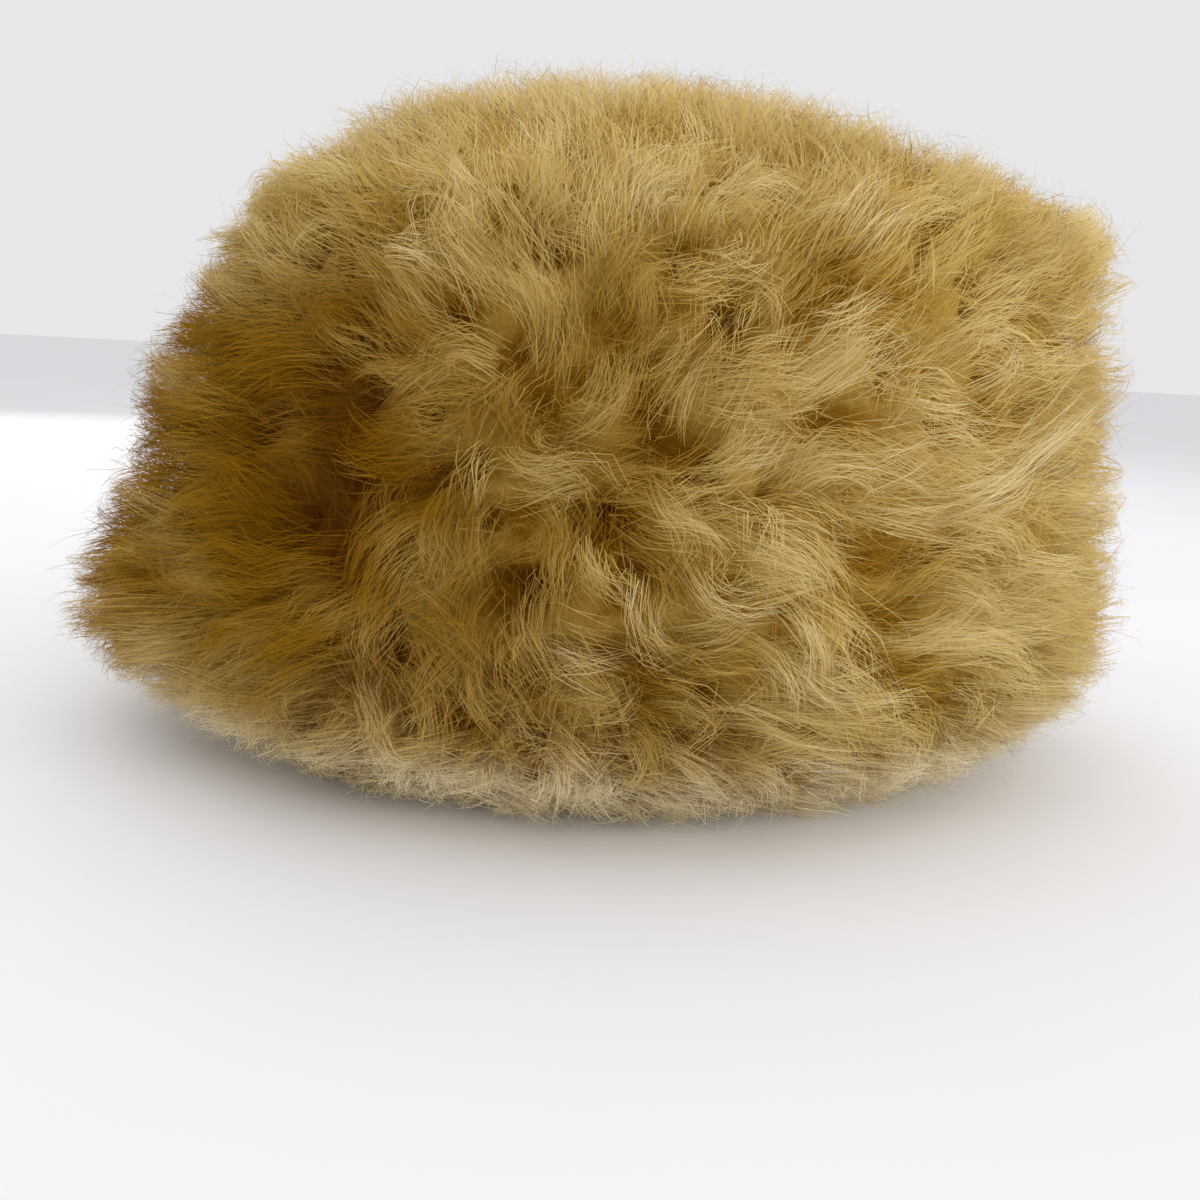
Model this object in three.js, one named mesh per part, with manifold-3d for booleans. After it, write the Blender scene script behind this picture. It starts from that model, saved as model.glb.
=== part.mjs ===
// A shaggy sheepskin hat of the telpek kind, standing on its rim.
//
// Two sheepskin panels make it: a band round the head and a round crown panel
// sewn on the band's upper edge. The wool stays on the skin and stands out all
// round in deep soft locks, so each panel is a leather wall with its own fleece.
// A fleece is a thick backing of packed wool with the locks fused to it.
//
// Units are millimetres, +Z is up, the wearer's head comes in from below, and
// the hat is seen from -Y. The origin lies on the floor under the hat's middle.

import * as THREE from "three";
import { mergeVertices } from "three/addons/utils/BufferGeometryUtils.js";
import Module from "manifold-3d";

const wasm = await Module();
wasm.setup();

// Sizes of the sheepskin panels.
const rimRadius = 94; // inside the rim, for a head 59 cm round
const crownRadius = 120; // outside the band, at the crown seam
const bandHeight = 176;
const crownRise = 9; // how far the crown panel is domed
const crownShift = 13; // the soft band leans this far to the right
const skinWall = 2.5;
const clearance = 0.3; // between two pieces that touch

// Sizes of the wool.
const sideWool = 96; // how deep the wool is where it stands out most
const topWool = 52; // over the middle of the crown
const rimShow = 1.5; // the bare rim stands this far below the wool
const packedShare = 0.74; // the packed wool's share of the wool's depth
const topFlatness = 3.4; // 2 is a round dome, more is a flatter top

// Sizes and spacing of the locks.
const lockLength = 64;
const lockWidth = 40;
const lockThickness = 20;
const lockSizes = { least: 0.85, most: 1.2 }; // as shares of the sizes above
const lockBend = 60; // the most degrees that a lock turns along its length
const lockStray = 30; // the most degrees that it strays from the combing
const lockShift = 0.25; // the most that it strays from its place in the row
const sideRows = 5;
const rowSpread = 0.8; // under 1 moves the rows up, where the levels lie further apart
const locksInRow = 23;
const topRings = 3;
const topSwirl = { middle: 70, edge: 15 }; // degrees that top locks turn off straight out

// How many flat faces the round forms have.
const facets = 36; // round the hat
const domeRings = 3; // from the middle of the crown panel to its seam
const sideRings = 7; // up the outside of the side's packed wool
const skinRings = 3; // up its inside
const topBands = 4; // from the middle of the top's packed wool to its corner

// The wool's outer form from the rim to the corner of the top, level by level.
// skin: the height on the band where this wool grows, as a share of bandHeight.
// rise: how far its tips stand above that, as a share of sideWool.
// right, back, left, front: how far its tips stand out, as shares of sideWool.
const levels = [
  { skin: 0.0, rise: 0.0, right: 0.5, back: 0.52, left: 0.52, front: 0.54 },
  { skin: 0.06, rise: 0.07, right: 0.76, back: 0.8, left: 0.77, front: 0.8 },
  { skin: 0.22, rise: 0.1, right: 0.98, back: 1.04, left: 1.05, front: 0.97 },
  { skin: 0.47, rise: 0.16, right: 0.93, back: 0.9, left: 0.98, front: 0.93 },
  { skin: 0.74, rise: 0.23, right: 0.77, back: 0.66, left: 0.69, front: 0.7 },
  { skin: 1.0, rise: 0.27, right: 0.5, back: 0.36, left: 0.34, front: 0.39 },
];

// Dents and swells of the soft side.
// at: degrees round the hat from its right-hand side, 270 being the front.
// up: the height as a share of the side. wide, high: their reach, in degrees
// and as a share. by: how far they move the tips, as a share of sideWool.
const dents = [
  { at: 355, up: 0.6, wide: 22, high: 0.13, by: -0.08 },
  { at: 345, up: 0.85, wide: 25, high: 0.12, by: 0.07 },
  { at: 300, up: 0.62, wide: 22, high: 0.25, by: -0.06 },
  { at: 250, up: 0.35, wide: 26, high: 0.3, by: 0.04 },
  { at: 215, up: 0.55, wide: 20, high: 0.2, by: -0.07 },
  { at: 190, up: 0.3, wide: 24, high: 0.2, by: 0.05 },
  { at: 160, up: 0.6, wide: 22, high: 0.25, by: -0.06 },
  { at: 125, up: 0.3, wide: 24, high: 0.3, by: 0.05 },
  { at: 90, up: 0.7, wide: 24, high: 0.25, by: -0.07 },
  { at: 50, up: 0.35, wide: 25, high: 0.3, by: 0.05 },
];

// How the side wool is combed.
// at, up: the place, as above. heading: degrees seen from outside, where 0 runs
// to the right, 90 up and -90 down.
const combs = [
  { at: 190, up: 0.5, heading: 195 },
  { at: 212, up: 0.2, heading: -140 },
  { at: 228, up: 0.75, heading: 165 },
  { at: 240, up: 0.45, heading: -100 },
  { at: 250, up: 0.1, heading: -105 },
  { at: 262, up: 0.88, heading: 95 },
  { at: 272, up: 0.3, heading: -60 },
  { at: 284, up: 0.58, heading: -8 },
  { at: 300, up: 0.32, heading: -48 },
  { at: 305, up: 0.85, heading: 50 },
  { at: 318, up: 0.08, heading: -65 },
  { at: 335, up: 0.55, heading: 5 },
  { at: 5, up: 0.25, heading: -30 },
  { at: 30, up: 0.7, heading: 40 },
  { at: 60, up: 0.3, heading: -120 },
  { at: 95, up: 0.75, heading: 110 },
  { at: 118, up: 0.4, heading: -60 },
  { at: 150, up: 0.65, heading: 170 },
  { at: 160, up: 0.15, heading: -100 },
];
const combReach = { wide: 24, high: 0.22 }; // in degrees and as a share

// One lock, from its root in the packed wool to its tip.
// along: the share of its length from its middle. up: the share of the way from
// the packed wool to the tips. sink: how deep it lies, as a share of its
// thickness. wide, thick: shares of lockWidth and lockThickness.
const lockStations = [
  { along: -0.5, up: 0.0, sink: 0.45, wide: 0.6, thick: 0.7 },
  { along: -0.2, up: 0.35, sink: 0.1, wide: 1.0, thick: 1.0 },
  { along: 0.2, up: 0.75, sink: 0.2, wide: 0.8, thick: 0.7 },
  { along: 0.5, up: 0.9, sink: 0.1, wide: 0.0, thick: 0.0 },
];

// A lock's section: shares of half its width and half its thickness.
const lockSection = [
  { aside: 1.0, out: -0.6 },
  { aside: 0.5, out: 0.9 },
  { aside: -0.5, out: 0.9 },
  { aside: -1.0, out: -0.6 },
];

const fullTurn = 2 * Math.PI;
const degree = Math.PI / 180;
const smallStep = 0.01; // for slopes worked out from two near points

// A repeatable number from 0 to 1 for each lock and each choice made for it: the
// digits far behind the point of a sine, which look random from lock to lock.
function chance(lock, choice) {
  const wave = Math.sin(lock * 12.9898 + choice * 78.233) * 43758.5453;
  return wave - Math.floor(wave);
}

function mix(a, b, share) {
  return a + (b - a) * share;
}

// A repeatable number from minus to plus the given most.
function stray(most, lock, choice) {
  return mix(-most, most, chance(lock, choice));
}

function clamp(value) {
  return Math.min(Math.max(value, 0), 1);
}

// A bell curve over a place: 1 at the place, falling off with its reach.
function nearness(angle, up, place, reach) {
  const turn = Math.cos(angle - place.at * degree);
  const aside = Math.acos(Math.min(Math.max(turn, -1), 1)) / degree;
  return Math.exp(-((aside / reach.wide) ** 2) - ((up - place.up) / reach.high) ** 2);
}

// A point at a height and a distance from the hat's leaning middle line.
function around(angle, radius, z) {
  const middle = (crownShift * z) / bandHeight;
  return new THREE.Vector3(
    middle + radius * Math.cos(angle),
    radius * Math.sin(angle),
    z,
  );
}

// The band's outside radius at a height, and the crown panel's upper side.
function bandRadius(z) {
  return mix(rimRadius + skinWall, crownRadius, z / bandHeight);
}
function crownRoof(radius) {
  const share = Math.min(radius / crownRadius, 1);
  return bandHeight + clearance + skinWall + crownRise * (1 - share * share);
}

// The level at a share of the way up, on a smooth curve through the table's rows.
function levelAt(share) {
  const last = levels.length - 1;
  const place = share * last;
  const row = Math.min(Math.floor(place), last - 1);
  const t = place - row;
  const near = [row - 1, row, row + 1, row + 2].map(
    (i) => levels[Math.min(Math.max(i, 0), last)],
  );
  const level = {};
  for (const key of Object.keys(levels[0])) {
    const [a, b, c, d] = near.map((each) => each[key]);
    const bend = 2 * a - 5 * b + 4 * c - d + t * (3 * (b - c) + d - a);
    level[key] = b + (t * (c - a + t * bend)) / 2;
  }
  return level;
}

// A level's reach at an angle, joined from four quarters of ellipses.
function reachOf(level, angle) {
  const across = Math.cos(angle);
  const along = Math.sin(angle);
  const a = across > 0 ? level.right : level.left;
  const b = along > 0 ? level.back : level.front;
  return 1 / Math.hypot(across / a, along / b);
}

// The skin under the side wool, and the tips of that wool, from the rim
// (share 0) to the corner of the top (share 1).
function sideSkin(angle, share) {
  const z = mix(rimShow, bandHeight, levelAt(clamp(share)).skin);
  return around(angle, bandRadius(z) + clearance, z);
}
function sideTip(angle, share) {
  const level = levelAt(share);
  const skin = sideSkin(angle, share);
  let reach = reachOf(level, angle);
  for (const dent of dents) reach += dent.by * nearness(angle, share, dent, dent);
  skin.x += reach * sideWool * Math.cos(angle);
  skin.y += reach * sideWool * Math.sin(angle);
  skin.z += level.rise * sideWool;
  return skin;
}
function sidePacked(angle, share) {
  return sideSkin(angle, share).lerp(sideTip(angle, share), packedShare);
}

// The skin under the crown wool and the tips of that wool. The place is a pair
// (across, along) in a unit disc, whose edge is the corner of the top.
function topSkin(across, along) {
  const radius = crownRadius * Math.hypot(across, along);
  const point = around(Math.atan2(along, across), radius, bandHeight);
  return point.setZ(crownRoof(radius) + clearance);
}
function topTip(across, along) {
  const share = Math.hypot(across, along);
  const corner = sideTip(Math.atan2(along, across), 1);
  const summit = crownRoof(0) + topWool;
  return new THREE.Vector3(
    mix(crownShift, corner.x, share),
    corner.y * share,
    mix(summit, corner.z, share ** topFlatness),
  );
}
function topPacked(across, along) {
  return topSkin(across, along).lerp(topTip(across, along), packedShare);
}

// Carries a surface straight on past the rim and past the corner.
function carriedOn(surface) {
  return (angle, share) => {
    const inside = clamp(share);
    const point = surface(angle, inside);
    if (inside === share) return point;
    const back = inside + Math.sign(inside - share) * smallStep;
    const slope = point.clone().sub(surface(angle, back));
    return point.addScaledVector(slope, Math.abs(share - inside) / smallStep);
  };
}

// A closed mesh as a solid that can be joined and cut.
function solidFrom(geometry) {
  geometry.deleteAttribute("normal");
  geometry.deleteAttribute("uv");
  const merged = mergeVertices(geometry);
  return new wasm.Manifold(
    new wasm.Mesh({
      numProp: 3,
      vertProperties: merged.attributes.position.array,
      triVerts: new Uint32Array(merged.index.array),
    }),
  );
}

// A closed mesh over rings of points, one skin after another. A ring of one
// point is a pole, and rings without poles close on themselves as a tube does.
function overRings(rings) {
  const points = rings.flat();
  const starts = rings.map((_, i) => rings.slice(0, i).flat().length);
  const hasPoles = rings[0].length === 1;
  const index = [];
  for (let i = 0; i < rings.length - (hasPoles ? 1 : 0); i++) {
    const j = (i + 1) % rings.length;
    const sides = Math.max(rings[i].length, rings[j].length);
    for (let k = 0; k < sides; k++) {
      const next = (k + 1) % sides;
      const at = (ring, corner) => starts[ring] + (corner % rings[ring].length);
      if (rings[i].length > 1) index.push(at(i, k), at(i, next), at(j, next));
      if (rings[j].length > 1) index.push(at(i, k), at(j, next), at(j, k));
    }
  }
  const geometry = new THREE.BufferGeometry();
  geometry.setFromPoints(points);
  geometry.setIndex(index);
  return geometry;
}

// A ring of points round the hat, from a function of the angle.
function ringOf(pointAt) {
  return Array.from({ length: facets }, (_, k) => pointAt((k / facets) * fullTurn));
}

// Even shares from one value to another, both included.
function sharesFrom(first, last, count) {
  return Array.from({ length: count + 1 }, (_, i) => mix(first, last, i / count));
}

// A soft flattened horn of wool that leaves the packed wool at its root, bows
// over it in its heading, and ends in a point among the tips. Its place is a
// pair (u, v) on two surfaces, and the heading is in degrees from u towards v.
function lock(packed, tips, u, v, heading, number) {
  const slopeU = tips(u + smallStep, v).sub(tips(u - smallStep, v));
  const slopeV = tips(u, v + smallStep).sub(tips(u, v - smallStep));
  const outward = new THREE.Vector3().crossVectors(slopeU, slopeV).normalize();
  const lengthPerU = slopeU.length() / (2 * smallStep);
  const lengthPerV = slopeV.length() / (2 * smallStep);
  const size = mix(lockSizes.least, lockSizes.most, chance(number, 1));
  const bend = stray(lockBend, number, 2);
  const rings = lockStations.map((station) => {
    const turn = (heading + bend * station.along) * degree;
    const run = station.along * size * lockLength;
    const place = [
      u + (run * Math.cos(turn)) / lengthPerU,
      v + (run * Math.sin(turn)) / lengthPerV,
    ];
    const middle = packed(...place)
      .lerp(tips(...place), station.up)
      .addScaledVector(outward, -station.sink * lockThickness);
    if (station.wide === 0) return [middle];
    const forward = slopeU
      .clone()
      .multiplyScalar(Math.cos(turn) / lengthPerU)
      .addScaledVector(slopeV, Math.sin(turn) / lengthPerV);
    const aside = new THREE.Vector3().crossVectors(outward, forward).normalize();
    const half = (station.wide * size * lockWidth) / 2;
    const deep = (station.thick * size * lockThickness) / 2;
    return lockSection.map((corner) =>
      middle
        .clone()
        .addScaledVector(aside, corner.aside * half)
        .addScaledVector(outward, corner.out * deep),
    );
  });
  const heel = new THREE.Vector3();
  for (const point of rings[0]) heel.addScaledVector(point, 1 / rings[0].length);
  return solidFrom(overRings([[heel], ...rings]));
}

// The heading of the side wool at a place, drawn from the combing places near it.
function sideHeading(angle, share) {
  let across = 0;
  let up = 0;
  for (const comb of combs) {
    const pull = nearness(angle, share, comb, combReach);
    across += pull * Math.cos(comb.heading * degree);
    up += pull * Math.sin(comb.heading * degree);
  }
  return Math.atan2(up, across) / degree;
}

// The locks of the side, in staggered rows.
function sideLocks() {
  const [packed, tips] = [sidePacked, sideTip].map(carriedOn);
  const locks = [];
  for (let row = 0; row < sideRows; row++) {
    for (let i = 0; i < locksInRow; i++) {
      const number = row * locksInRow + i;
      const aside = (row % 2) / 2 + stray(lockShift, number, 3);
      const angle = ((i + aside) / locksInRow) * fullTurn;
      const up = (row + 0.5 + stray(lockShift, number, 4)) / sideRows;
      const share = up ** rowSpread;
      const heading = sideHeading(angle, share) + stray(lockStray, number, 5);
      locks.push(lock(packed, tips, angle, share, heading, number));
    }
  }
  return locks;
}

// The locks of the top, in rings that wind outwards from the middle.
function topLocks() {
  const locks = [];
  for (let ring = 0; ring < topRings; ring++) {
    const count = Math.round(fullTurn * (ring + 0.5));
    for (let i = 0; i < count; i++) {
      const number = (sideRows + ring) * locksInRow + i;
      const angle = ((i + stray(lockShift, number, 3)) / count) * fullTurn;
      const reach = (ring + 0.5 + stray(lockShift, number, 4)) / topRings;
      const across = reach * Math.cos(angle);
      const along = reach * Math.sin(angle);
      const swirl = mix(topSwirl.middle, topSwirl.edge, reach);
      const heading = angle / degree + swirl + stray(lockStray, number, 5);
      locks.push(lock(topPacked, topTip, across, along, heading, number));
    }
  }
  return locks;
}

// A ring round the crown, from one of its surfaces and a share of the way out.
function topRingOf(surface, share) {
  return ringOf((angle) => surface(share * Math.cos(angle), share * Math.sin(angle)));
}

// The space above the seam between the two fleeces. Its cone runs from just
// inside the crown seam, through the corner of the top, to well outside the wool,
// as shares of the way from the seam to the corner.
function aboveSeam(lift) {
  const justInside = -0.06;
  const wellOutside = 4;
  const seamAt = (share) => (angle) => {
    const point = sideSkin(angle, 1).lerp(sideTip(angle, 1), share);
    return point.setZ(point.z + lift);
  };
  const start = ringOf(seamAt(justInside));
  const edge = ringOf(seamAt(wellOutside));
  const middle = new THREE.Vector3(crownShift, 0, start[0].z);
  const ceiling = 2 * (crownRoof(0) + topWool);
  return solidFrom(
    overRings([
      [middle],
      start,
      edge,
      edge.map((point) => point.clone().setZ(ceiling)),
      [middle.clone().setZ(ceiling)],
    ]),
  );
}

// The space below the wool.
function belowWool() {
  const width = 2 * (rimRadius + crownRadius + sideWool);
  const depth = sideWool;
  const block = new THREE.BoxGeometry(width, width, depth);
  block.translate(0, 0, rimShow - depth / 2);
  return solidFrom(block);
}

// The packed wool round the band: a thick ring on the skin. It runs a little
// past the seam, where it is cut to the seam's cone.
function sideBacking() {
  const overSeam = 0.94;
  const outside = sharesFrom(0, 1, sideRings).map((share) =>
    ringOf((angle) => sidePacked(angle, share)),
  );
  const shoulder = topRingOf(topPacked, overSeam);
  const inside = sharesFrom(1, 0, skinRings).map((share) =>
    ringOf((angle) => sideSkin(angle, share)),
  );
  const collar = inside[0].map((point) => point.clone().setZ(point.z + skinWall));
  return solidFrom(overRings([...outside, shoulder, collar, ...inside]));
}

// The packed wool on the crown panel: a thick lid that wraps the panel's edge,
// and that also runs a little past the seam before it is cut.
function topBacking() {
  const underSeam = 0.96;
  const underside = sharesFrom(0, 1, domeRings)
    .slice(1)
    .map((share) => topRingOf(topSkin, share));
  const hem = ringOf((angle) => sideSkin(angle, 1));
  const edge = hem.map((point) => point.clone().setZ(crownRoof(crownRadius) + clearance));
  const lip = hem.map((point) => point.clone().setZ(point.z - skinWall));
  const skirt = ringOf((angle) => sidePacked(angle, underSeam));
  const outside = sharesFrom(1, 0, topBands)
    .slice(0, -1)
    .map((share) => topRingOf(topPacked, share));
  return solidFrom(
    overRings([
      [topSkin(0, 0)],
      ...underside,
      edge,
      lip,
      skirt,
      ...outside,
      [topPacked(0, 0)],
    ]),
  );
}

// The largest body of a solid, without the pockets sealed between locks.
function mainBody(solid) {
  return solid
    .decompose()
    .reduce((best, body) => (body.volume() > best.volume() ? body : best));
}

// A backing and its locks in one body.
function fused(backing, locks) {
  return locks.reduce((wool, each) => wool.add(each), backing);
}

// A mesh with its name and finish, from a solid or from a three.js geometry.
function piece(name, shape, finish) {
  let geometry = shape;
  if (shape instanceof wasm.Manifold) {
    const mesh = shape.getMesh();
    geometry = new THREE.BufferGeometry();
    const position = new THREE.BufferAttribute(new Float32Array(mesh.vertProperties), 3);
    geometry.setAttribute("position", position);
    geometry.setIndex(Array.from(mesh.triVerts));
  }
  geometry.computeVertexNormals();
  const made = new THREE.Mesh(geometry, finish);
  made.name = name;
  return made;
}

// The band's leather wall: a ring that widens and leans as it rises.
function bandWall() {
  const inside = (z) => bandRadius(z) - skinWall;
  const profile = [
    [bandRadius(0), 0],
    [bandRadius(bandHeight), bandHeight],
    [inside(bandHeight), bandHeight],
    [inside(0), 0],
    [bandRadius(0), 0],
  ];
  const wall = new THREE.LatheGeometry(
    profile.map(([radius, z]) => new THREE.Vector2(radius, z)),
    facets,
  );
  wall.rotateX(Math.PI / 2);
  const lean = new THREE.Matrix4().makeShear(0, 0, 0, 0, crownShift / bandHeight, 0);
  wall.applyMatrix4(lean);
  return wall;
}

// The crown panel: a leather disc with a flat seat on the band and a soft dome.
function crownPanel() {
  const seat = crownRadius - 2 * skinWall;
  const roof = sharesFrom(0, 1, domeRings).map((share) => {
    const radius = share * crownRadius;
    return new THREE.Vector2(radius, crownRoof(radius));
  });
  const ceiling = sharesFrom(1, 0, domeRings).map((share) => {
    const rise = crownRise * (1 - share * share);
    return new THREE.Vector2(share * seat, bandHeight + clearance + rise);
  });
  const edge = new THREE.Vector2(crownRadius, bandHeight + clearance);
  const profile = [...roof, edge, ...ceiling].reverse();
  const panel = new THREE.LatheGeometry(profile, facets);
  panel.rotateX(Math.PI / 2);
  return panel;
}

const leather = new THREE.MeshStandardMaterial({
  color: 0xcbb38c,
  roughness: 0.85,
  metalness: 0,
});
const wool = new THREE.MeshStandardMaterial({
  color: 0xc2a068,
  roughness: 1,
  metalness: 0,
});

const sideFleece = mainBody(
  fused(sideBacking(), sideLocks()).subtract(aboveSeam(0)).subtract(belowWool()),
);
const topFleece = mainBody(
  fused(topBacking(), topLocks()).intersect(aboveSeam(clearance)),
);

const topPanels = new THREE.Group();
topPanels.position.x = crownShift;
topPanels.add(piece("top_hide", crownPanel(), leather));

const hat = new THREE.Group();
hat.add(
  piece("side_hide", bandWall(), leather),
  piece("side_fleece", sideFleece, wool),
  topPanels,
  piece("top_fleece", topFleece, wool),
);

export default hat;
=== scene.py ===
import math

import bpy
import numpy as np
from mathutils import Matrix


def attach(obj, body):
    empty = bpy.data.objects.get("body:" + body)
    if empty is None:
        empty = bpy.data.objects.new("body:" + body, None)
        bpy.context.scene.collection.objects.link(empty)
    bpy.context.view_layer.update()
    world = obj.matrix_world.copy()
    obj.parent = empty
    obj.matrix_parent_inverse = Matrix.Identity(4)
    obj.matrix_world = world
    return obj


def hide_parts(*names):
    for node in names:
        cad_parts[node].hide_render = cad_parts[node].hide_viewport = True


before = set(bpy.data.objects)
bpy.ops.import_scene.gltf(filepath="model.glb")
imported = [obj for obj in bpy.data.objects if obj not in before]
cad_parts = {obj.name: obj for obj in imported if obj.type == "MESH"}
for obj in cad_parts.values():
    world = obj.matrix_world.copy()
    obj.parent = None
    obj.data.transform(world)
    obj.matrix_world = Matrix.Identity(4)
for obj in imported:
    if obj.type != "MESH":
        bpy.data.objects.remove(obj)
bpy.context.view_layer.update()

# ---------------------------------------------------------------- leather band
# The band is sheepskin with its flesh side inwards: pale tan suede, rubbed a
# little smoother and darker where the head has been. It is sewn into a ring
# and the wool grows from its outer side.


def suede(name, colour, worn_colour):
    """A suede finish: a slow mottle between two browns, a fine nap over it, and a
    grain that the bump node raises from the same fine nap."""
    made = bpy.data.materials.new(name)
    made.use_nodes = True
    nodes, links = made.node_tree.nodes, made.node_tree.links
    shader = nodes["Principled BSDF"]
    shader.inputs["Roughness"].default_value = 0.92
    shader.inputs["Specular IOR Level"].default_value = 0.25
    shader.inputs["Sheen Weight"].default_value = 0.25
    shader.inputs["Sheen Roughness"].default_value = 0.5
    where = nodes.new("ShaderNodeTexCoord")
    mottle = nodes.new("ShaderNodeTexNoise")
    mottle.inputs["Scale"].default_value = 28
    mottle.inputs["Detail"].default_value = 5
    nap = nodes.new("ShaderNodeTexNoise")
    nap.inputs["Scale"].default_value = 900
    nap.inputs["Detail"].default_value = 3
    both = nodes.new("ShaderNodeMath")
    both.operation = "MULTIPLY_ADD"
    both.inputs[1].default_value = 0.35
    ramp = nodes.new("ShaderNodeValToRGB")
    ramp.color_ramp.elements[0].position = 0.35
    ramp.color_ramp.elements[0].color = (*worn_colour, 1)
    ramp.color_ramp.elements[1].position = 0.85
    ramp.color_ramp.elements[1].color = (*colour, 1)
    grain = nodes.new("ShaderNodeBump")
    grain.inputs["Strength"].default_value = 0.25
    grain.inputs["Distance"].default_value = 0.0004
    links.new(where.outputs["Object"], mottle.inputs["Vector"])
    links.new(where.outputs["Object"], nap.inputs["Vector"])
    links.new(nap.outputs["Fac"], both.inputs[0])
    links.new(mottle.outputs["Fac"], both.inputs[2])
    links.new(both.outputs["Value"], ramp.inputs["Fac"])
    links.new(ramp.outputs["Color"], shader.inputs["Base Color"])
    links.new(nap.outputs["Fac"], grain.inputs["Height"])
    links.new(grain.outputs["Normal"], shader.inputs["Normal"])
    return made


band_suede = suede("band_suede", (0.52, 0.38, 0.22), (0.36, 0.24, 0.12))
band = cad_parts["side_hide"]
band.data.materials.clear()
band.data.materials.append(band_suede)

# ---------------------------------------------------------------- crown panel
# A round panel of the same skin, sewn on the band's upper edge with its flesh
# side down, so that it shows only inside the hat. It is a little paler.
crown_suede = suede("crown_suede", (0.58, 0.43, 0.26), (0.42, 0.29, 0.15))
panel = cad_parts["top_hide"]
panel.data.materials.clear()
panel.data.materials.append(crown_suede)

# ---------------------------------------------------------------- side underwool
# Close to the skin the wool is packed into a dense lumpy mat, browner than the
# tips, partly the roots' own colour and partly painted shade, since the hairs above
# cast no shadow on it. It is what shows at the bottom of the gaps between the locks.

TURN = 2 * math.pi
# The solids' own sizes, in metres.
RIM_RADIUS, CROWN_RADIUS, BAND_HEIGHT = 0.0965, 0.120, 0.176
CROWN_RISE, CROWN_SHIFT, CROWN_ROOF = 0.009, 0.013, 0.1791  # doming, lean, the panel's top
SIDE_WOOL, TOP_WOOL = 0.096, 0.052  # depth of the wool
RIM_SHOW, CLEARANCE = 0.0015, 0.0003
TOP_FLATNESS = 3.4  # power by which the top falls away to its corner

# skin, rise, right, back, left, front: the height on the band where the wool of
# a level grows, and how far its tips stand above and out, as in the solids.
levels = np.array(
    [
        [0.0, 0.0, 0.5, 0.52, 0.52, 0.54],
        [0.06, 0.07, 0.76, 0.8, 0.77, 0.8],
        [0.22, 0.1, 0.98, 1.04, 1.05, 0.97],
        [0.47, 0.16, 0.93, 0.9, 0.98, 0.93],
        [0.74, 0.23, 0.77, 0.66, 0.69, 0.7],
        [1.0, 0.27, 0.5, 0.36, 0.34, 0.39],
    ]
)
# Dents and swells of the soft side: degrees round the hat from its right-hand
# side, share of the way up, reach in degrees and as a share, and how far.
dents = [
    (355, 0.6, 22, 0.13, -0.08),
    (345, 0.85, 25, 0.12, 0.07),
    (300, 0.62, 22, 0.25, -0.06),
    (250, 0.35, 26, 0.3, 0.04),
    (215, 0.55, 20, 0.2, -0.07),
    (190, 0.3, 24, 0.2, 0.05),
    (160, 0.6, 22, 0.25, -0.06),
    (125, 0.3, 24, 0.3, 0.05),
    (90, 0.7, 24, 0.25, -0.07),
    (50, 0.35, 25, 0.3, 0.05),
]


def nearness(angle, up, at, height, wide, high):
    """exp(-(a / wide)^2 - ((up - height) / high)^2), a being the degrees from at to angle."""
    apart = np.degrees(np.arccos(np.clip(np.cos(angle - math.radians(at)), -1, 1)))
    return np.exp(-((apart / wide) ** 2) - ((up - height) / high) ** 2)


def level_at(share):
    """The levels' row at a share of the way up, on a Catmull-Rom curve through the rows."""
    place = share * (len(levels) - 1)
    row = np.minimum(np.floor(place).astype(int), len(levels) - 2)
    t = (place - row)[..., None]
    a, b, c, d = (levels[np.clip(row + k, 0, len(levels) - 1)] for k in (-1, 0, 1, 2))
    return b + t * (c - a + t * (2 * a - 5 * b + 4 * c - d + t * (3 * (b - c) + d - a))) / 2


def fleece_at(angle, up):
    """Skin and tips over a place on the fleece. up is 0 at the rim, 1 at the corner of
    the top and 2 at the middle of the crown. On the side the skin is the leaning
    band's cone, and the tips stand off it by the level's quarter ellipse with the
    dents. On the top, with r = 2 - up, the skin is the dome and the tips run from
    the corner to the summit by r^TOP_FLATNESS in height."""
    side = np.clip(up, 0, 1)
    level = level_at(side)
    z = RIM_SHOW + (BAND_HEIGHT - RIM_SHOW) * level[..., 0]
    cos, sin = np.cos(angle), np.sin(angle)
    radius = RIM_RADIUS + (CROWN_RADIUS - RIM_RADIUS) * z / BAND_HEIGHT + CLEARANCE
    middle = CROWN_SHIFT * z / BAND_HEIGHT
    skin = np.stack([middle + radius * cos, radius * sin, z], -1)
    across = np.where(cos > 0, level[..., 2], level[..., 4])
    along = np.where(sin > 0, level[..., 3], level[..., 5])
    reach = 1 / np.hypot(cos / across, sin / along)
    for at, height, wide, high, by in dents:
        reach = reach + by * nearness(angle, side, at, height, wide, high)
    reach = reach * SIDE_WOOL
    tip = skin + np.stack([reach * cos, reach * sin, level[..., 1] * SIDE_WOOL], -1)
    r = np.clip(2 - up, 0, 1)
    dome = CROWN_ROOF + CLEARANCE + CROWN_RISE * (1 - r * r)
    dome_skin = np.stack([CROWN_SHIFT + CROWN_RADIUS * r * cos, CROWN_RADIUS * r * sin, dome], -1)
    summit = CROWN_ROOF + CROWN_RISE + TOP_WOOL
    dome_tip = np.stack(
        [
            CROWN_SHIFT + (tip[..., 0] - CROWN_SHIFT) * r,
            tip[..., 1] * r,
            summit + (tip[..., 2] - summit) * r**TOP_FLATNESS,
        ],
        -1,
    )
    on_top = (up > 1)[..., None]
    return np.where(on_top, dome_skin, skin), np.where(on_top, dome_tip, tip)


def unit(vectors):
    """Each vector over its length."""
    return vectors / np.maximum(np.linalg.norm(vectors, axis=-1, keepdims=True), 1e-12)


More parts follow.
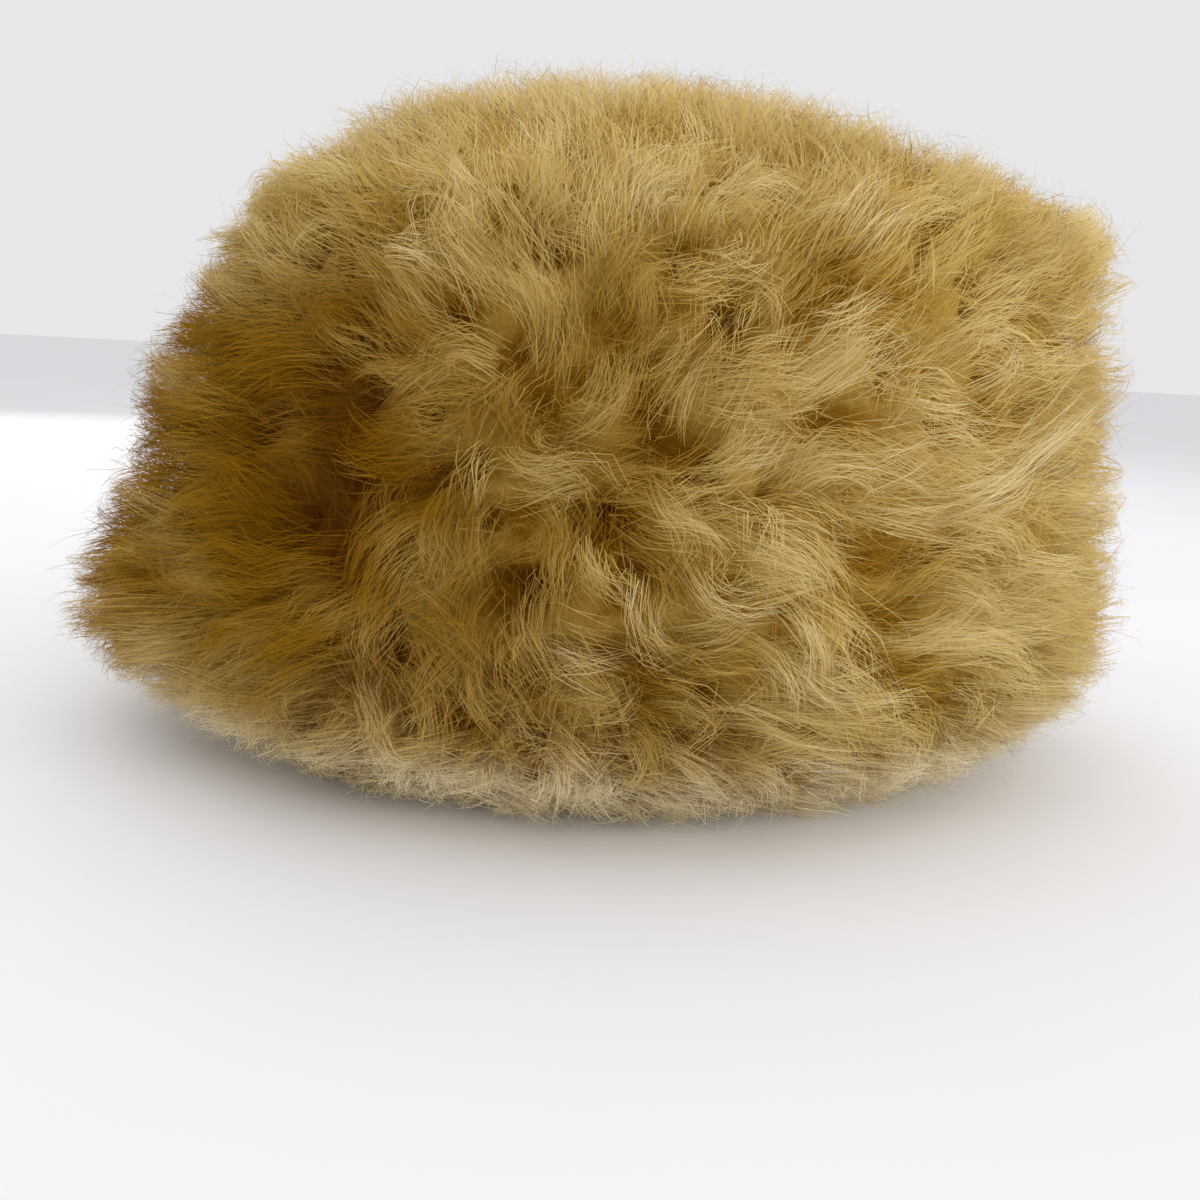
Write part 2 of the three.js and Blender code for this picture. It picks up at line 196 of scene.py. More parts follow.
def ripple(points, size, seed):
    """Smooth waves from about -1 to 1: the mean of six sines along random directions,
    with lengths near size, times 1.7."""
    rng = np.random.default_rng(seed)
    total = 0
    for _ in range(6):
        way = unit(rng.normal(size=3)) * TURN / (size * rng.uniform(0.7, 1.5))
        total = total + np.sin(points @ way + rng.uniform(0, TURN))
    return total / 6 * 1.7


def new_mesh(name, points, corners, starts, normals, shades, material):
    """A mesh from whole arrays: points, the corners of its faces, where each face
    starts in them, a shading normal for each point and named numbers on points."""
    mesh = bpy.data.meshes.new(name)
    mesh.vertices.add(len(points))
    mesh.vertices.foreach_set("co", points.astype(np.float32).ravel())
    mesh.loops.add(len(corners))
    mesh.loops.foreach_set("vertex_index", corners.astype(np.int32))
    mesh.polygons.add(len(starts))
    mesh.polygons.foreach_set("loop_start", starts.astype(np.int32))
    mesh.update(calc_edges=True)
    mesh.validate()
    if normals is not None:
        mesh.normals_split_custom_set_from_vertices(normals.astype(np.float32))
    for key, values in shades.items():
        mesh.attributes.new(key, "FLOAT", "POINT").data.foreach_set(
            "value", values.astype(np.float32)
        )
    mesh.materials.append(material)
    made = bpy.data.objects.new(name, mesh)
    bpy.context.scene.collection.objects.link(made)
    return made


# The main partings and hollows that the photo shows between the locks: degrees
# round the hat, share of the way up (over 1 is on the top), reach in degrees and
# as a share, and how much of the locks they take away. The same numbers paint the
# wool darker there, as painted shade between the locks.
partings = [
    (236, 0.93, 6, 0.025, 0.6),
    (238, 0.73, 6, 0.06, 0.8),
    (240, 0.61, 8, 0.07, 0.7),
    (243, 0.55, 4, 0.04, 0.8),
    (247, 0.43, 3, 0.035, 1.2),
    (254, 0.34, 6, 0.02, 0.5),
    (258, 0.345, 4, 0.03, 1.0),
    (263, 0.42, 4, 0.016, 0.8),
    (259, 0.79, 2, 0.06, 0.7),
    (261, 0.73, 3, 0.03, 0.7),
    (261, 0.53, 3, 0.035, 1.1),
    (265, 0.63, 3, 0.022, 0.9),
    (268, 0.61, 3, 0.022, 0.9),
    (269, 0.82, 4, 0.06, 0.5),
    (271, 0.67, 3, 0.03, 0.6),
    (273, 0.57, 3, 0.03, 1.0),
    (269, 0.46, 5, 0.014, 0.7),
    (277, 0.365, 5, 0.014, 0.8),
    (276, 0.7, 5, 0.014, 1.2),
    (282, 0.56, 3, 0.03, 0.5),
    (288, 0.9, 2, 0.04, 0.7),
    (291, 0.73, 5, 0.025, 0.9),
    (295, 0.89, 4, 0.01, 1.2),
    (296, 0.87, 6, 0.03, 0.6),
    (294, 0.57, 4, 0.045, 1.0),
    (299, 0.49, 3, 0.03, 1.1),
    (301, 0.455, 5, 0.02, 1.0),
    (304, 0.575, 7, 0.018, 0.8),
    (276, 1.35, 8, 0.12, 0.5),
    (264, 1.2, 4, 0.09, 0.5),
    (200, 0.4, 8, 0.08, 0.6),
    (170, 0.7, 7, 0.06, 0.7),
    (140, 0.45, 6, 0.05, 0.8),
    (120, 0.75, 7, 0.03, 0.8),
    (100, 0.4, 6, 0.06, 0.9),
    (82, 0.6, 5, 0.04, 0.8),
    (62, 0.35, 7, 0.04, 0.8),
    (45, 0.7, 6, 0.05, 0.7),
    (25, 0.45, 6, 0.06, 0.8),
    (350, 0.35, 5, 0.05, 0.8),
    # The palest locks, which stand out: they are the opposite of a parting, raised and painted
    # paler, as painted light on locks that stand high.
    (280, 0.7, 4, 0.018, -0.6),
    (285, 0.695, 4, 0.018, -0.6),
    (245, 0.92, 5, 0.04, -0.3),
    (249, 0.6, 4, 0.05, -0.4),
    (261, 0.64, 3, 0.03, -0.3),
    (284, 0.58, 4, 0.025, -0.4),
    (292, 0.79, 5, 0.03, -0.3),
    (249, 0.51, 4, 0.03, -0.4),
    (276, 0.53, 2.5, 0.025, -0.3),
    (262, 0.85, 3, 0.04, -0.3),
    (305, 0.65, 6, 0.03, -0.2),
    (266, 0.49, 3, 0.02, -0.3),
    (291, 0.43, 6, 0.02, -0.3),
]


def parted(angle, up):
    """The sum of every parting's strength times its nearness, and small hollows where
    waves some 20 mm long over the tips rise above 0.3. The wool is lowered by it and
    painted darker by it, as painted shade in the partings and hollows."""
    _, tips = fleece_at(angle, up + 0 * angle)
    hollows = 1.8 * np.clip(ripple(tips, 0.02, 31) - 0.3, 0, 1)
    return hollows + sum(deep * nearness(angle, up, *place) for *place, deep in partings)


def standing(angle, up):
    """How far the wool stands up, as a share of its depth: 0.68 at the rim, 1 on the low
    side, 0.88 below the corner and 1.06 at the middle of the crown, less or more
    where it is laid down or stands off, as the photo's outline shows."""
    side = 1 - 0.12 * np.clip((up - 0.4) / 0.25, 0, 1) - 0.32 * np.clip((0.25 - up) / 0.25, 0, 1)
    share = np.where(up < 1, side, 1.06 - 0.18 * (2 - up) ** 2)
    for at, height, wide, high, by in (
        (0, 1.35, 75, 0.35, -0.17),
        (0, 0.83, 40, 0.08, -0.06),
        (350, 0.97, 35, 0.06, 0.14),
        (355, 0.55, 30, 0.12, 0.06),
        (190, 0.75, 30, 0.12, 0.05),
        (192, 0.35, 25, 0.1, 0.1),
        (225, 0.08, 35, 0.12, -0.08),
        (205, 1.1, 50, 0.15, -0.08),
    ):
        share = share + by * nearness(angle, up, at, height, wide, high)
    return share


def yellowing_and_flank_shade(points):
    """How far the wool is turned to the darker yellow-brown: 1 on the left flank,
    falling off to the right, behind, at the top and at the rim, with waves over it.
    On the flank this is partly the wool's own yellowing and partly painted shade of
    the side turned away from the window light."""
    x, y, z = np.moveaxis(points, -1, 0)
    # Painted shade with the yellowing: the left flank, away from the lights, is turned darker.
    flank = np.clip(0.45 - x / 0.14, 0, 1) * np.clip((0.19 - z) / 0.04, 0, 1)
    flank = flank * np.clip((z - 0.01) / 0.05, 0.1, 1) * np.clip((0.12 - y) / 0.15, 0.25, 1)
    waves = 0.2 * ripple(points, 0.07, 11) + 0.2 * ripple(points, 0.025, 12)
    return np.clip(0.08 + 0.95 * flank + waves, 0, 1)


def wool_colours():
    """The wool's colours as one node group. Paleness runs from the browned roots to the
    cream tips, and the numbers fed to it also carry painted light and shade.
    Ochre_and_shade turns that colour to the yellowed_and_shaded one, whose yellow is
    the wool's own and whose darkness is partly painted shade."""
    group = bpy.data.node_groups.new("wool_colours", "ShaderNodeTree")
    face = group.interface
    face.new_socket("Paleness", in_out="INPUT", socket_type="NodeSocketFloat")
    face.new_socket("Ochre_and_shade", in_out="INPUT", socket_type="NodeSocketFloat")
    face.new_socket("Colour", in_out="OUTPUT", socket_type="NodeSocketColor")
    nodes, links = group.nodes, group.links
    inside = nodes.new("NodeGroupInput")
    outside = nodes.new("NodeGroupOutput")
    stops = (0.0, 0.3, 0.6, 0.85, 1.0)
    straw = (
        (0.16, 0.055, 0.004),
        (0.33, 0.165, 0.01),
        (0.53, 0.35, 0.08),
        (0.69, 0.53, 0.235),
        (0.82, 0.7, 0.45),
    )
    # Painted shade: these colours are also much darker than the straw ones, for the shaded flank.
    yellowed_and_shaded = (
        (0.06, 0.015, 0.001),
        (0.12, 0.04, 0.001),
        (0.2, 0.085, 0.002),
        (0.31, 0.155, 0.005),
        (0.47, 0.29, 0.04),
    )
    ramps = []
    for colours in (straw, yellowed_and_shaded):
        ramp = nodes.new("ShaderNodeValToRGB")
        ramp.color_ramp.elements[1].position = stops[-1]
        for stop in stops[1:-1]:
            ramp.color_ramp.elements.new(stop)
        for element, colour in zip(ramp.color_ramp.elements, colours):
            element.color = (*colour, 1)
        links.new(inside.outputs["Paleness"], ramp.inputs["Fac"])
        ramps.append(ramp)
    blend = nodes.new("ShaderNodeMix")
    blend.data_type = "RGBA"
    links.new(inside.outputs["Ochre_and_shade"], blend.inputs["Factor"])
    links.new(ramps[0].outputs["Color"], blend.inputs["A"])
    links.new(ramps[1].outputs["Color"], blend.inputs["B"])
    links.new(blend.outputs["Result"], outside.inputs["Colour"])
    return group


colours_of_wool = wool_colours()


def wool_material(name, fibre_scale, bump):
    """A wool finish. The paleness and ochre_and_shade numbers on the mesh, which carry
    painted light and shade as well as the wool's own colour, choose the colour, a noise
    of the fibre scale varies it a little, and bump, in metres, raises it."""
    made = bpy.data.materials.new(name)
    made.use_nodes = True
    nodes, links = made.node_tree.nodes, made.node_tree.links
    shader = nodes["Principled BSDF"]
    shader.inputs["Roughness"].default_value = 0.9
    shader.inputs["Specular IOR Level"].default_value = 0.02
    shader.inputs["Sheen Weight"].default_value = 0.02
    shader.inputs["Sheen Roughness"].default_value = 0.4
    paleness = nodes.new("ShaderNodeAttribute")
    paleness.attribute_name = "paleness"
    ochre_and_shade = nodes.new("ShaderNodeAttribute")
    ochre_and_shade.attribute_name = "ochre_and_shade"
    where = nodes.new("ShaderNodeTexCoord")
    fibres = nodes.new("ShaderNodeTexNoise")
    fibres.inputs["Scale"].default_value = fibre_scale
    fibres.inputs["Detail"].default_value = 3
    vary = nodes.new("ShaderNodeMath")
    vary.operation = "MULTIPLY_ADD"
    most = 0.12
    vary.inputs[1].default_value = 2 * most
    vary.inputs[2].default_value = -most
    total = nodes.new("ShaderNodeMath")
    total.operation = "ADD"
    colour = nodes.new("ShaderNodeGroup")
    colour.node_tree = colours_of_wool
    links.new(where.outputs["Object"], fibres.inputs["Vector"])
    links.new(fibres.outputs["Fac"], vary.inputs[0])
    links.new(vary.outputs["Value"], total.inputs[0])
    links.new(paleness.outputs["Fac"], total.inputs[1])
    links.new(total.outputs["Value"], colour.inputs["Paleness"])
    links.new(ochre_and_shade.outputs["Fac"], colour.inputs["Ochre_and_shade"])
    links.new(colour.outputs["Colour"], shader.inputs["Base Color"])
    if bump:
        raised = nodes.new("ShaderNodeBump")
        raised.inputs["Strength"].default_value = 0.8
        raised.inputs["Distance"].default_value = bump
        links.new(fibres.outputs["Fac"], raised.inputs["Height"])
        links.new(raised.outputs["Normal"], shader.inputs["Normal"])
    return made


def closed_rings(name, rings, lumps, paleness, material):
    """A closed mat over rings of points, each a pole of one point or a full turn.
    Rings without poles close on themselves. lumps moves a ring's points by waves
    along the mat's normal, and paleness is a row of numbers for each ring. The mat is
    painted paler where the waves rise and darker where they sink, as painted light
    and shade on its lumps."""
    counts = [len(ring) for ring in rings]
    starts = np.concatenate([[0], np.cumsum(counts)[:-1]])
    points = np.concatenate(rings)
    faces = []
    has_poles = counts[0] == 1
    for i in range(len(rings) - (1 if has_poles else 0)):
        j = (i + 1) % len(rings)
        k = np.arange(max(counts[i], counts[j]))
        n = (k + 1) % len(k)
        a, b = starts[i] + k % counts[i], starts[i] + n % counts[i]
        c, d = starts[j] + n % counts[j], starts[j] + k % counts[j]
        if counts[i] == 1:
            faces.append(np.stack([a, c, d], 1))
        elif counts[j] == 1:
            faces.append(np.stack([a, b, c], 1))
        else:
            faces.append(np.stack([a, b, c, d], 1))
    corners = np.concatenate([face.ravel() for face in faces])
    sizes = np.concatenate([[face.shape[1]] * len(face) for face in faces])
    made = new_mesh(name, points, corners, np.cumsum(sizes) - sizes, None, {}, material)
    normals = np.empty(len(points) * 3, np.float32)
    made.data.vertices.foreach_get("normal", normals)
    each = np.repeat(lumps, counts)
    rise = 0.6 * ripple(points, 0.024, 5) + 0.4 * ripple(points, 0.009, 6)
    points = points + normals.reshape(-1, 3) * (each * rise)[:, None]
    points[:, 2] = np.maximum(points[:, 2], 0.0008)
    made.data.vertices.foreach_set("co", points.astype(np.float32).ravel())
    # Painted light and shade: paler on the swells of the lumps, darker in their hollows.
    tone_and_shade = np.concatenate(paleness) + 0.1 * rise
    for key, values in (("paleness", tone_and_shade), ("ochre_and_shade", yellowing_and_flank_shade(points))):
        made.data.attributes.new(key, "FLOAT", "POINT").data.foreach_set(
            "value", np.clip(values, 0, 1).astype(np.float32)
        )
    made.data.update()
    return made


mat_finish = wool_material("underwool", 700, 0.0012)
MAT_SHARE = 0.66  # of the wool's depth
MAT_FOOT = 0.01  # where the mat starts off the skin, as a share of the same depth
MAT_STAND = 0.93  # the standing of wool whose mat is neither raised nor lowered
# Partly painted shade: the mat is browner than the hairs that lie over it.
MAT_PALENESS = 0.46
SIDE_ROWS, TOP_ROWS = 64, 40
TOP_START = 1.0001  # just over the corner, where the top begins
mat_turn = np.arange(180) * TURN / 180


def mat_ring(up, depth):
    """A ring of the mat at a height, at a share of the way from the skin to the tips.
    On the mat's outer face the share follows the wool's standing, less 0.08 of how
    far the place is parted."""
    skin, tip = fleece_at(mat_turn, np.full(mat_turn.shape, float(up)))
    lowered = depth / MAT_STAND * standing(mat_turn, up)
    lowered = lowered - 0.08 * np.minimum(parted(mat_turn, up), 1)
    deep = np.where(depth == MAT_SHARE, lowered, depth)
    return skin + (tip - skin) * np.reshape(deep, (-1, 1))


def mat_pale(rings, first, ups):
    """Numbers of paleness for a mat's rings: MAT_PALENESS, and from ring first on that
    less 0.4 times how far the places at the heights ups are parted, which is painted
    shade in the partings."""
    pale = [np.full(len(ring), MAT_PALENESS) for ring in rings]
    for number, up in enumerate(ups, first):
        pale[number] = pale[number] - 0.4 * np.clip(parted(mat_turn, up), -0.3, 1)
    return pale


side_ups = np.linspace(0, 1, SIDE_ROWS)
outside = [mat_ring(up, MAT_SHARE) for up in side_ups]
over = [mat_ring(1, depth) for depth in np.linspace(MAT_SHARE, MAT_FOOT, 10)[1:]]
inside = [mat_ring(up, MAT_FOOT) for up in np.linspace(1, 0, 12)[1:]]
under = [mat_ring(0, depth) for depth in np.linspace(MAT_FOOT, MAT_SHARE, 6)[1:-1]]
side_rings = outside + over + inside + under
side_lumps = np.zeros(len(side_rings))
side_lumps[1 : SIDE_ROWS - 1] = 0.006
side_pale = mat_pale(side_rings, 0, side_ups)
side_underwool = closed_rings("side_underwool", side_rings, side_lumps, side_pale, mat_finish)
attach(side_underwool, "root")
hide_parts("side_fleece")

# ---------------------------------------------------------------- top underwool
# The same mat on the crown panel. It wraps the panel's edge and meets the side's
# mat over the crown seam.
top_finish = wool_material("top_underwool", 700, 0.0012)
pole_skin, pole_tip = (end[:1] for end in fleece_at(np.zeros(1), np.full(1, 2.0)))
top_ups = np.linspace(TOP_START, 2, TOP_ROWS)[1:-1]
underside = [mat_ring(up, MAT_FOOT) for up in np.linspace(2, TOP_START, 20)[1:]]
edge = [mat_ring(TOP_START, depth) for depth in np.linspace(MAT_FOOT, MAT_SHARE, 10)[1:]]
dome = [mat_ring(up, MAT_SHARE) for up in top_ups]
top_rings = [
    pole_skin + (pole_tip - pole_skin) * MAT_FOOT,
    *underside,
    *edge,
    *dome,
    pole_skin + (pole_tip - pole_skin) * MAT_SHARE,
]
first_dome = 1 + len(underside) + len(edge)
top_lumps = np.zeros(len(top_rings))
top_lumps[first_dome + 2 : -1] = 0.005
top_pale = mat_pale(top_rings, first_dome, top_ups)
top_underwool = closed_rings("top_underwool", top_rings, top_lumps, top_pale, top_finish)
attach(top_underwool, "root")
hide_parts("top_fleece")

# ---------------------------------------------------------------- side locks
# The wool ends in soft locks some 50 mm long. Each is a few hundred fine hairs
# that leave the mat together, are combed over to one side and gather in a
# loose point. Every hair here stands for several real ones.

# How the wool is combed: degrees round the hat, share of the way up, and the
# heading seen from outside, where 0 runs to the right, 90 up and -90 down.
# First the slow drift all round, then the turns that the photo shows in front.
drift = [
    (190, 0.5, 195),
    (212, 0.2, -140),
    (228, 0.75, 185),
    (240, 0.45, -100),
    (250, 0.1, -105),
    (262, 0.88, 95),
    (272, 0.3, -60),
    (284, 0.58, -8),
    (300, 0.32, -48),
    (305, 0.85, 20),
    (318, 0.08, -65),
    (335, 0.55, 5),
    (5, 0.25, -30),
    (30, 0.7, 40),
    (60, 0.3, -120),
    (95, 0.75, 110),
    (118, 0.4, -60),
    (150, 0.65, 170),
    (160, 0.15, -100),
]
turns = [
    (228, 0.94, 175),
    (229, 0.85, 190),
    (226, 0.78, 200),
    (225, 0.67, 205),
    (218, 0.55, 195),
    (216, 0.42, 185),
    (222, 0.33, 210),
    (229, 0.2, 235),
    (236, 0.99, 165),
    (244, 1.03, 120),
    (255, 1.05, 95),
    (267, 1.05, 85),
    (279, 1.05, 60),
    (292, 1.03, 60),
    (306, 1.0, 40),
    (324, 0.97, 20),
    (323, 0.89, 0),
    (320, 0.77, -10),
    (320, 0.64, -5),
    (322, 0.52, -10),
    (322, 0.4, -30),
    (323, 0.22, -60),
    (316, 0.12, -55),
    (300, 0.15, -60),
    (280, 0.2, -80),
    (266, 0.16, -90),
    (254, 0.2, -110),
    (245, 0.24, -125),
    (248, 0.95, 110),
    (265, 0.89, 90),
    (271, 1.02, 70),
    (277, 1.0, 30),
    (286, 0.98, 10),
    (270, 0.91, 100),
    (277, 0.93, -80),
    (273, 0.96, 10),
    (274, 0.88, 200),
    (287, 0.89, 55),
    (300, 0.92, 10),
    (305, 0.84, 5),
    (293, 0.84, 0),
    (252, 0.85, 130),
    (244, 0.82, 175),
    (259, 0.83, 85),
    (266, 0.83, 90),
    (254, 0.76, -100),
    (264, 0.76, 10),
    (273, 0.77, 0),
    (279, 0.77, 80),
    (280, 0.73, -8),
    (288, 0.71, -12),
    (293, 0.79, 30),
    (297, 0.74, -25),
    (310, 0.72, -15),
    (300, 0.66, -5),
    (312, 0.59, -20),
    (262, 0.68, 5),
    (269, 0.69, 20),
    (253, 0.68, -100),
    (250, 0.6, -90),
    (241, 0.69, 150),
    (241, 0.73, 200),
    (236, 0.62, 150),
    (233, 0.48, 160),
    (241, 0.47, 170),
    (229, 0.42, 185),
    (231, 0.33, 205),
    (247, 0.4, -20),
    (254, 0.48, -30),
    (256, 0.54, -45),
    (249, 0.33, 190),
    (259, 0.35, -80),
    (265, 0.4, -50),
    (261, 0.57, -100),
    (268, 0.57, -80),
    (269, 0.47, 10),
    (272, 0.64, -60),
    (276, 0.57, -60),
    (283, 0.65, 10),
    (286, 0.57, -55),
    (291, 0.59, -50),
    (295, 0.53, -5),
    (288, 0.49, -85),
    (296, 0.48, -45),
    (302, 0.38, -55),
    (294, 0.42, -20),
    (299, 0.53, 70),
    (307, 0.48, 15),
    (311, 0.41, 0),
    (277, 0.44, 0),
    (282, 0.45, -25),
    (278, 0.34, 15),
    (287, 0.35, -8),
    (272, 0.34, -20),
    (262, 0.29, -95),
    (293, 0.31, -25),
]


def combing(angle, up):
    """The heading at a place, in radians: the direction of the sum of the table's
    headings as unit vectors, each times its nearness, the turns counting for four."""
    across, rise = 1e-9, 0
    for table, wide, high, weight in ((drift, 24, 0.22, 1), (turns, 5, 0.05, 4)):
        for at, height, heading in table:
            pull = weight * nearness(angle, np.minimum(up, 1.05), at, height, wide, high)
            across = across + pull * math.cos(math.radians(heading))
            rise = rise + pull * math.sin(math.radians(heading))
    return np.arctan2(rise, across)


STEPS = 9  # points along a lock's middle line
CROWN_HEADING = 1.75  # radians from the hat's right: the crown's wool runs to the back


def over_tips(angle, up):
    """Skin, tips, the outward direction and the tips' metres per radian and per unit of
    up, from two near places each way."""
    small = 1e-3
    skin, tip = fleece_at(angle, up)
    per_turn = fleece_at(angle + small, up)[1] - fleece_at(angle - small, up)[1]
    per_up = fleece_at(angle, up + small)[1] - fleece_at(angle, up - small)[1]
    out = unit(np.cross(per_turn, per_up))
    scales = [np.linalg.norm(each, axis=-1) / (2 * small) for each in (per_turn, per_up)]
    return skin, tip, out, np.maximum(scales, 0.02)


def lock_lines(rng, angle, up, length, bend, loose, on_top=False, root=0.6, sunk=0.0):
    """The middle lines of locks. A line first goes back from the place (angle, up) by
    0.35 of its length against the combing. From there it moves over the tips'
    surface in its heading, while its share of the wool's depth rises from root as
    root + (lift - root) (1 - (1 - s)^2.2). Locks in partings lie lower, and so do
    all by the share sunk. Lengths vary at random by a quarter and shorten near the
    rim. On the top a lock moves in the plane of the round crown, front to back.
    Returns the points, the outward direction at each, the depth, and how far each
    lock is parted, less for those that stand high. The hairs are painted darker by it
    as painted shade in partings, and paler on locks that stand high as painted light."""
    count = len(angle)
    angle, up = angle.copy(), up.copy()
    length = length * rng.uniform(0.75, 1.3, count) * np.clip(0.35 + up / 0.2, 0.35, 1)
    bend = rng.uniform(-bend, bend, count)
    astray = rng.normal(0, loose, count)
    high = rng.normal(0, 0.035, count)
    gap = parted(angle, up)
    lift = standing(angle, up) + high - sunk - 0.2 * np.clip(gap, -0.3, 1.2)
    # Painted light: a lock that stands high counts as less parted, so its hairs are painted paler.
    gap = gap - 2.5 * high
    droop = rng.uniform(0.0, 0.06, count)
    points, outs, depths = (np.empty((count, STEPS, n)) for n in (3, 3, 1))

    def heading_at(tip):
        swirl = 0.35 * ripple(tip, 0.05, 21) + 0.4 * ripple(tip, 0.022, 23)
        return (CROWN_HEADING if on_top else combing(angle, up)) + swirl + astray

    def moved(heading, run, turn_scale, up_scale):
        across, rise = run * np.cos(heading), run * np.sin(heading)
        if on_top:
            x = (2 - up) * np.cos(angle) + across / up_scale
            y = (2 - up) * np.sin(angle) + rise / up_scale
            return np.arctan2(y, x), 2 - np.clip(np.hypot(x, y), 0.002, 1.3)
        return angle + across / turn_scale, np.clip(up + rise / up_scale, 0.0, 1.995)

    for _ in range(2):
        _, tip, _, scales = over_tips(angle, up)
        angle, up = moved(heading_at(tip) - 0.3 * bend, -0.175 * length, *scales)
    for step in range(STEPS):
        s = step / (STEPS - 1)
        skin, tip, out, scales = over_tips(angle, up)
        depth = root + (lift - root) * (1 - (1 - s) ** 2.2) - droop * s**4
        points[:, step] = skin + (tip - skin) * depth[:, None]
        outs[:, step], depths[:, step, 0] = out, depth
        run = length / (STEPS - 1) * (0.5 + 0.8 * s)
        angle, up = moved(heading_at(tip) + bend * (s - 0.3), run, *scales)
    return points, outs, depths[..., 0], gap


HAIR_PALENESS = 0.61
STANDS_OFF = 0.011  # the furthest that a hair stands off its lock's middle line


def hairs_of(
    rng,
    lines,
    per_lock,
    half_width,
    half_depth,
    joints=4,
    wisps=9,
    fray=0.15,
    tight=0.5,
    frizz=0.0001,
):
    """The hairs of locks. A hair follows its lock's middle line from a random start to
    a random end. It keeps a place in the lock's section, near one of its wisps, and
    the section narrows towards the tip by 1.1 - tight s^1.5. Each wisp also fans out
    by a random slope times (s - 0.3). A crimp of sines and the frizz, a random shift
    of each joint, move a hair aside. A share of the hairs, fray, springs off the
    lock at the tip, and its height z over the line becomes h tanh(z / h), h being
    STANDS_OFF. A hair is paler towards its tip. It is also painted paler on top of
    its lock and high up in the wool, and browner in a parting, as painted light and
    shade, since the hairs cast no shadow. In the last 38 mm above the rim it is paler,
    partly as paler wool and partly as painted light from the floor. Returns the
    points, a shading normal at each and the paleness with its painted light and shade."""
    points, outs, depths, gap = lines
    locks = len(points)
    which = np.repeat(np.arange(locks), per_lock)
    count = len(which)
    start = 0.45 * rng.random(count) ** 1.4
    end = 1 - 0.45 * rng.random(count) ** 2
    s = start[:, None] + (end - start)[:, None] * np.linspace(0, 1, joints)
    place = s * (STEPS - 1)
    i = np.minimum(place.astype(int), STEPS - 2)
    w = (place - i)[..., None]
    row = which[:, None]
    middle = points[row, i] * (1 - w) + points[row, i + 1] * w
    out = unit(outs[row, i] * (1 - w) + outs[row, i + 1] * w)
    depth = depths[row, i] * (1 - w[..., 0]) + depths[row, i + 1] * w[..., 0]
    forward = unit(np.gradient(points, axis=1))
    ahead = unit(forward[row, i] * (1 - w) + forward[row, i + 1] * w)
    aside = unit(np.cross(out, ahead))
    above = unit(np.cross(ahead, aside))
    wisp = rng.integers(0, wisps, count)
    wisp_turn = rng.uniform(0, TURN, (locks, wisps))[which, wisp]
    wisp_out = np.sqrt(rng.random((locks, wisps)))[which, wisp]
    a = wisp_out * np.cos(wisp_turn) * 0.8
    c = wisp_out * np.sin(wisp_turn) * 0.8 + 0.1
    own_a, own_c = rng.normal(0, 0.27, (2, count))
    fan_a, fan_c = rng.normal(0, 0.6, (2, locks, wisps))[:, which, wisp]
    size = rng.uniform(0.8, 1.25, locks)[which]
    narrow = 1.1 - np.broadcast_to(tight, locks)[which][:, None] * s**1.5
    springs = (rng.random(count) < fray) * rng.uniform(0.3, 2.0, count)
    narrow = narrow * (1 + springs[:, None] * s**2)
    crimp = rng.uniform(0.0003, 0.0012, (locks, wisps))[which, wisp]
    phase = rng.uniform(0, TURN, (locks, wisps))[which, wisp] + rng.normal(0, 0.5, count)
    waves = rng.uniform(0.6, 1.3, (locks, wisps))[which, wisp]
    wave = crimp[:, None] * (0.4 + s) * np.sin(TURN * waves[:, None] * s + phase[:, None])
    sideways = (size * half_width)[:, None] * (a[:, None] + own_a[:, None] * (1.1 - 0.6 * s))
    upward = (size * half_depth)[:, None] * (c[:, None] + own_c[:, None] * (1.1 - 0.6 * s))
    sideways = sideways * narrow + wave + rng.normal(0, frizz, s.shape)
    upward = upward * narrow + 0.5 * wave + rng.normal(0, 0.6 * frizz, s.shape)
    sideways = sideways + half_width * fan_a[:, None] * (s - 0.3)
    upward = upward + 0.6 * half_depth * fan_c[:, None] * (s - 0.3)
    upward = STANDS_OFF * np.tanh(upward / STANDS_OFF)
    made = middle + aside * sideways[..., None] + above * upward[..., None]
    a, c = a + own_a, c + own_c
    round_off = unit(aside * a[:, None, None] + above * (c[:, None, None] + 0.5))
    normal = unit(out + 0.55 * round_off + rng.normal(0, 0.04, (count, 1, 3)))
    tone_and_shade = rng.normal(0, 0.05, locks)[which] + rng.normal(0, 0.015, count)
    tone_and_shade = tone_and_shade + rng.normal(0, 0.03, (locks, wisps))[which, wisp]
    # Painted shade: hairs in a parting are made browner.
    tone_and_shade = tone_and_shade - 0.52 * np.clip(gap[which], -0.18, 1)
    deep = np.clip((depth - 0.56) / 0.35, 0, 1)
    # Painted light and shade: paler high up in the wool and on top of the lock, browner low down.
    pale = HAIR_PALENESS + 0.09 * deep**1.5 + 0.07 * s + 0.06 * c[:, None] + tone_and_shade[:, None]
    # Partly painted light from the floor below, partly paler wool: paler in the last 38 mm above
    # the rim.
    pale = pale + 0.5 * np.clip(1.15 - made[..., 2] / 0.033, 0, 1)
    return made, normal, pale


LOWEST, BEND_OVER = 0.0006, 0.003  # metres


def above_floor(points):
    """Bends hairs off the floor: z becomes l + b ln(1 + exp((z - l) / b)), l being
    LOWEST and b BEND_OVER."""
    over = (points[..., 2] - LOWEST) / BEND_OVER
    points[..., 2] = LOWEST + BEND_OVER * np.logaddexp(0, over)
    return points


MOST_ROLL = 0.52  # 30 degrees, in radians


